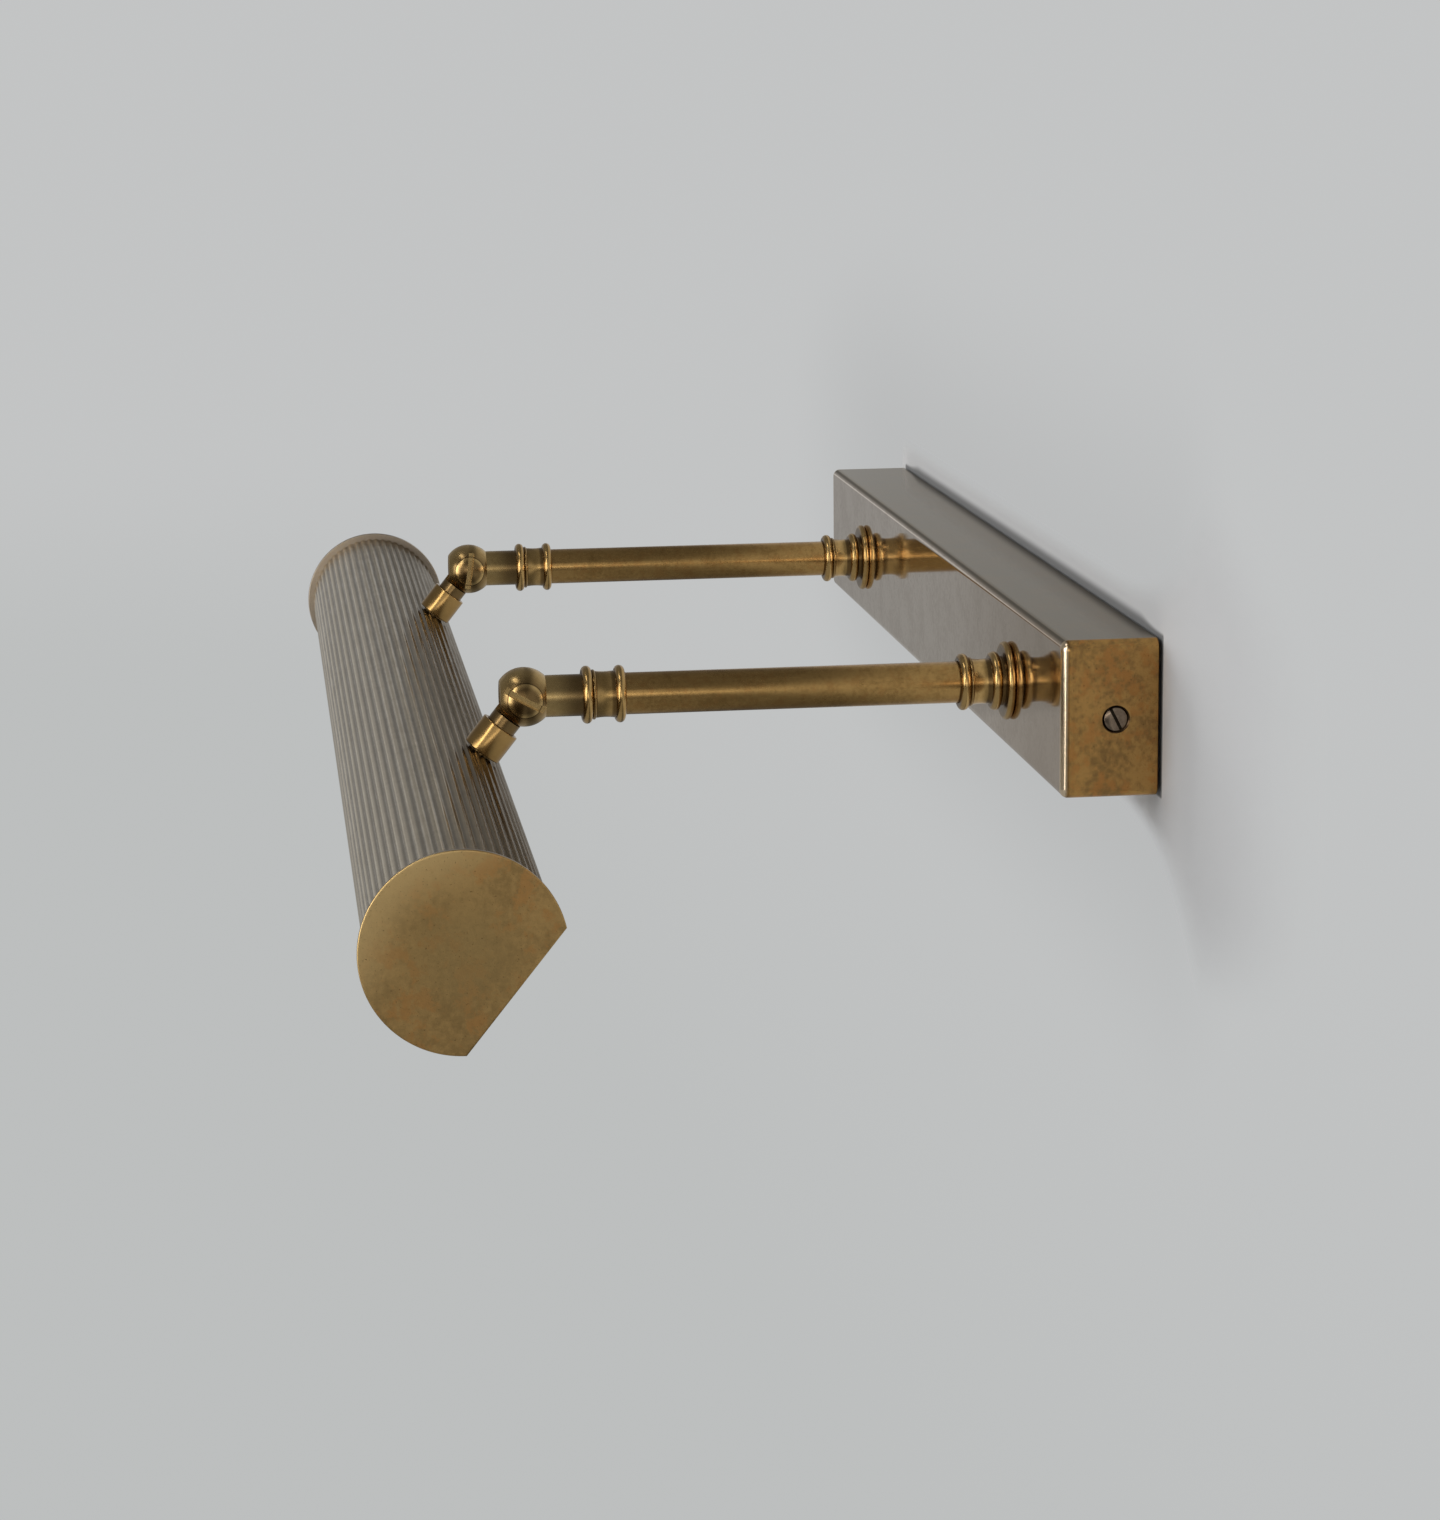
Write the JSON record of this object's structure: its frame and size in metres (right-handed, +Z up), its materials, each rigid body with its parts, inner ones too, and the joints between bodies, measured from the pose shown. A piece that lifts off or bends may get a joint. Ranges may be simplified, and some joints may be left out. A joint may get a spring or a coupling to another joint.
{
  "type": "picture light",
  "caption": "Brass picture light with a wall box, turned arms with slotted ball knuckles and a reeded tube shade that tilts.",
  "frame": {"origin": "middle of the wall face, on the wall bracket's back", "axes": "+X along the light, +Y into the wall, +Z up; the light reaches out towards -Y"},
  "size_m": [0.6, 0.2342, 0.088],
  "materials": {
    "aged_brass": "aged, satin, with a brown patina",
    "reeded_brass": "aged, satin, reeded along its length",
    "polished_brass": "rubbed bright",
    "plain_brass": "bare turned brass",
    "nickel_screw": "dulled nickel plate",
    "zinc_steel": "zinc plated",
    "cream_plastic": "moulded",
    "black_rubber": "matt",
    "white_enamel": "white enamel on thin aluminium",
    "porcelain": "glazed",
    "opal_glass": "opal"
  },
  "bodies": {
    "wall_unit": {"box_cover": "aged_brass", "wall_bracket": "zinc_steel", "cover_screw_left": "nickel_screw", "cover_screw_right": "nickel_screw", "cover_nut_left": "zinc_steel", "cover_nut_right": "zinc_steel", "terminal_block": "cream_plastic", "earth_screw": "plain_brass", "cable_grommet": "black_rubber", "nipple_left": "plain_brass", "nipple_right": "plain_brass", "lock_washer_left": "zinc_steel", "lock_washer_right": "zinc_steel", "lock_nut_left": "plain_brass", "lock_nut_right": "plain_brass", "wall_collar_left": "aged_brass", "wall_collar_right": "aged_brass", "arm_tube_left": "aged_brass", "arm_tube_right": "aged_brass", "knuckle_collar_left": "aged_brass", "knuckle_collar_right": "aged_brass", "arm_knuckle_left": "aged_brass", "arm_knuckle_right": "aged_brass", "clamp_screw_left": "aged_brass", "clamp_screw_right": "aged_brass"},
    "shade": {"stub_knuckle_left": "aged_brass", "stub_knuckle_right": "aged_brass", "ferrule_left": "polished_brass", "ferrule_right": "polished_brass", "shade_nut_left": "plain_brass", "shade_nut_right": "plain_brass", "shade_tube": "reeded_brass", "end_cap_left": "aged_brass", "end_cap_right": "aged_brass", "reflector": "white_enamel", "holder_bracket_left": "zinc_steel", "holder_bracket_right": "zinc_steel", "lamp_holder_left": "porcelain", "lamp_holder_right": "porcelain", "lamp_cap_left": "plain_brass", "lamp_cap_right": "plain_brass", "lamp_glass_left": "opal_glass", "lamp_glass_right": "opal_glass"}
  },
  "joints": [
    {"name": "shade_tilt", "type": "hinge", "parent": "wall_unit", "child": "shade", "pos_m": [0, -0.1775, -0.0013], "axis": [1, 0, 0], "range_deg": [-140.9, 38.9]}
  ]
}
